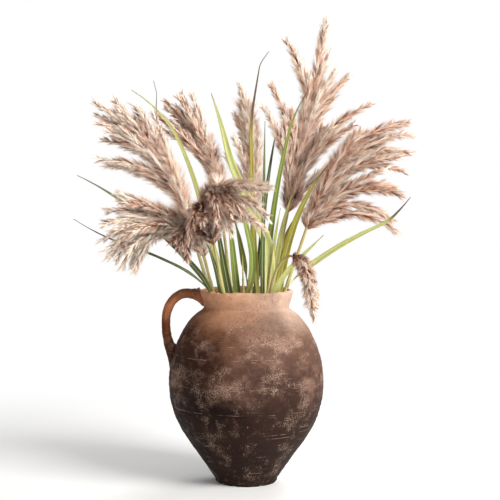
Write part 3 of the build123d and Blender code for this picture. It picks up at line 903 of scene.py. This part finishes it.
def leaf_shell(sections, number):
    """The front and back rows of points of a blade, through its sections: a folded rib, rounded
    halves, a wavy edge and a real thickness."""
    left, rib, right = sections[:, 0], sections[:, 1], sections[:, 2]
    face = unit(np.cross(right - left, unit(np.gradient(rib, axis=0))))
    half = np.linalg.norm(right - left, axis=1)[:, None] / 2
    columns = np.linspace(-1, 1, LEAF_COLUMNS)
    spots = []
    for column in columns:
        edge = right if column > 0 else left
        share = abs(column)
        arch = math.sin(math.pi * share) * 0.07
        wave = 0.09 * share ** 2 * ripple(rib + column, 0.035, 60 + number)[:, None]
        spots.append(rib + (edge - rib) * share + face * half * (wave - arch))
    grid = np.stack(spots, axis=1)
    run = np.linspace(0, 1, len(sections))[:, None]
    thick = LEAF_THICKNESS * (1 - 0.55 * run) * (1 - 0.72 * abs(columns))
    lift = face[:, None] * thick[..., None]
    return np.concatenate((grid + lift, (grid - lift)[:, ::-1]), axis=1)


def leaf_faces(rows):
    """(quads, uv) of a blade's shell, with both of its ends closed."""
    around = LEAF_COLUMNS * 2
    quads, across, along = grid_faces(rows, around)
    v = np.where(across % around < LEAF_COLUMNS, across / (LEAF_COLUMNS - 1) * 0.5,
                 0.5 + (across - LEAF_COLUMNS) / (LEAF_COLUMNS - 1) * 0.5).clip(0, 1)
    uv = np.stack((along / (rows - 1), v), axis=2) * 0.99 + 0.005
    caps = []
    for row, order in ((0, -1), (rows - 1, 1)):
        first = row * around
        for column in range(LEAF_COLUMNS - 1):
            ring = [first + column, first + column + 1, first + around - 2 - column,
                    first + around - 1 - column]
            caps.append(ring[::order])
    cap_uv = np.full((len(caps), 4, 2), 0.001)
    return np.concatenate((quads, np.array(caps))), np.concatenate((uv, cap_uv))


def build_leaf(node, number):
    """A fine blade through the sections of the CAD one."""
    points, faces = read_node(node)
    line, _ = spine(points, faces, lambda place: place[2], 34)
    fine = respace(line, 72)
    fine[0] += (fine[1] - fine[0]) * 0.05
    fine[-1] += (fine[-2] - fine[-1]) * 0.05
    sections = leaf_sections(points, faces, fine)
    smooth = sections.copy()
    smooth[1:-1] = (sections[:-2] + sections[1:-1] * 2 + sections[2:]) / 4
    shell = leaf_shell(smooth, number)
    quads, uv = leaf_faces(len(smooth))
    tones, dry_from = LEAVES[node]
    material = leaf_material("blade_" + node, tones, dry_from, number)
    make_piece(node.replace("leaf", "blade"), shell.reshape(-1, 3), quads, node,
               material, uv)


straw = stem_material()
for members in frame["record"]["behaviour"]["bodies"].values():
    for node in members:
        if node.startswith(("stem_", "shoot_")):
            cane_line = build_stem(node, straw)
    for node in members:
        if node.startswith("plume_"):
            build_plume(node, cane_line)
for number, node in enumerate(sorted(LEAVES)):
    build_leaf(node, number)


# Holder: the plastic liner, the gravel and the foam keep their CAD shapes
def liner_material():
    """Dark matte plastic with faint rubbed rings and dust."""
    material, tree, shader = start_material("liner_plastic_look", 0.5, 0.4)
    position = place_in_frame(tree)[0]
    rings = noise(tree, position, 12, 3, 0.6, (1, 1, 30))
    dust = noise(tree, position, 60, 6, 0.7)
    colour = ramp(tree, calc(tree, "MULTIPLY", rings, dust), [
        (0.1, (0.012, 0.012, 0.012)), (0.32, (0.03, 0.029, 0.028)), (0.45, (0.08, 0.072, 0.065))])
    tree.links.new(colour, shader.inputs["Base Color"])
    tree.links.new(calc(tree, "MULTIPLY_ADD", dust, 0.4, 0.35), shader.inputs["Roughness"])
    add_bump(tree, shader, rings, 0.0006, 0.5)
    return material


def gravel_material():
    """Packed pebbles, each with its own tone, with painted shade in the gaps between them."""
    material, tree, shader = start_material("gravel_look", 0.8)
    position = place_in_frame(tree)[0]
    cells = add_node(tree, "ShaderNodeTexVoronoi", {"Vector": position, "Scale": 110.0})
    tone = add_node(tree, "ShaderNodeSeparateColor", {"Color": cells.outputs["Color"]}).outputs[0]
    colour = ramp(tree, tone, [(0.0, (0.16, 0.13, 0.11)), (0.5, (0.34, 0.31, 0.27)),
                               (1.0, (0.55, 0.51, 0.45))])
    # Painted shade: the gaps between the pebbles are darkened
    pebble_gap_shade = level(tree, cells.outputs["Distance"], 0.35, 0.62, 0.0, 0.9)
    tree.links.new(blend(tree, pebble_gap_shade, colour, (0.03, 0.025, 0.02)), shader.inputs["Base Color"])
    add_bump(tree, shader, calc(tree, "SUBTRACT", 1.0, cells.outputs["Distance"]), 0.004)
    return material


def foam_material():
    """Green floral foam with open pores, darkened as painted shade, and crumbs."""
    material, tree, shader = start_material("foam_look", 0.95, 0.15)
    position = place_in_frame(tree)[0]
    pores = add_node(tree, "ShaderNodeTexVoronoi", {"Vector": position, "Scale": 900.0})
    crumbs = noise(tree, position, 90, 6, 0.7)
    colour = ramp(tree, crumbs, [(0.3, (0.05, 0.11, 0.045)), (0.55, (0.085, 0.17, 0.065)),
                                 (0.75, (0.16, 0.25, 0.11))])
    # Painted shade: the open pores are darkened
    dark = level(tree, pores.outputs["Distance"], 0.2, 0.6, 0.55, 0.0)
    tree.links.new(blend(tree, dark, colour, (0.02, 0.045, 0.018)), shader.inputs["Base Color"])
    relief = calc(tree, "ADD", pores.outputs["Distance"], crumbs)
    add_bump(tree, shader, relief, 0.0015)
    return material


for node, material in (("inner_pot", liner_material()), ("gravel_ballast", gravel_material()),
                       ("foam_block", foam_material())):
    frame["nodes"][node].data.materials.clear()
    frame["nodes"][node].data.materials.append(material)


# Floor, light and camera. Each light has its place, size, power in watts and colour.
FLOOR_REACH = 8
LIGHTS = {
    "key": ((2.5, -2.0, 2.0), 1.9, 195, (1.0, 0.985, 0.96)),
    "fill": ((-2.4, -1.8, 1.6), 1.8, 9, (0.96, 0.98, 1.0)),
    "back": ((1.0, 2.4, 2.0), 1.5, 55, (1, 1, 1)),
}
AIM = (0, 0, 0.45)
SURROUND_LIGHT = 0.32
CAMERA_PLACE, CAMERA_LENS, LOOK_DOWN = (0.0077, -2.45, 0.589), 85.2, 2.52


def build_floor():
    """A pale floor that fades into plain white away from the jar."""
    turns = ((-1, -1), (1, -1), (1, 1), (-1, 1))
    corners = [(x * FLOOR_REACH, y * FLOOR_REACH, 0) for x, y in turns]
    mesh = bpy.data.meshes.new("floor")
    mesh.from_pydata(corners, [], [(0, 1, 2, 3)])
    floor = bpy.data.objects.new("floor", mesh)
    bpy.context.scene.collection.objects.link(floor)
    material, tree, shader = start_material("pale_floor", 0.9, 0.1)
    position = place_in_frame(tree)[0]
    grain = noise(tree, position, 3, 3)
    colour = ramp(tree, grain, [(0.3, (0.90, 0.895, 0.89)), (0.7, (0.93, 0.925, 0.92))])
    away = add_node(tree, "ShaderNodeVectorMath", {0: position}, operation="LENGTH")
    fade = level(tree, away.outputs["Value"], 0.35, 1.6)
    tree.links.new(blend(tree, fade, colour, (0, 0, 0)), shader.inputs["Base Color"])
    shader.inputs["Emission Color"].default_value = (1, 1, 1, 1)
    tree.links.new(fade, shader.inputs["Emission Strength"])
    mesh.materials.append(material)


def add_area(name, place, size, power, colour):
    """A square light aimed at the middle of the arrangement."""
    lamp = bpy.data.lights.new(name, "AREA")
    lamp.size = size
    lamp.energy = power
    lamp.color = colour
    made = bpy.data.objects.new(name, lamp)
    made.location = place
    made.rotation_euler = (Vector(AIM) - Vector(place)).to_track_quat("-Z", "Y").to_euler()
    bpy.context.scene.collection.objects.link(made)


def light_scene():
    """A surround that looks white, a soft key high up at the front right, a weak fill on the left
    and a light from behind."""
    world = bpy.data.worlds.new("studio")
    world.use_nodes = True
    bpy.context.scene.world = world
    tree = world.node_tree
    seen = add_node(tree, "ShaderNodeLightPath").outputs["Is Camera Ray"]
    shown = tree.nodes["Background"]
    shown.inputs["Color"].default_value = (1, 1, 1, 1)
    tree.links.new(calc(tree, "MULTIPLY_ADD", seen, 1 - SURROUND_LIGHT, SURROUND_LIGHT),
                   shown.inputs["Strength"])
    for name, (place, size, power, colour) in LIGHTS.items():
        add_area(name, place, size, power, colour)
    bpy.context.scene.view_settings.view_transform = "Standard"


def add_camera():
    """In front of the jar, a little above the middle of the arrangement, looking slightly down."""
    data = bpy.data.cameras.new("camera")
    data.sensor_width = 36
    data.lens = CAMERA_LENS
    camera = bpy.data.objects.new("camera", data)
    camera.location = CAMERA_PLACE
    camera.rotation_euler = (math.radians(90 - LOOK_DOWN), 0, 0)
    bpy.context.scene.collection.objects.link(camera)
    bpy.context.scene.camera = camera


build_floor()
light_scene()
add_camera()
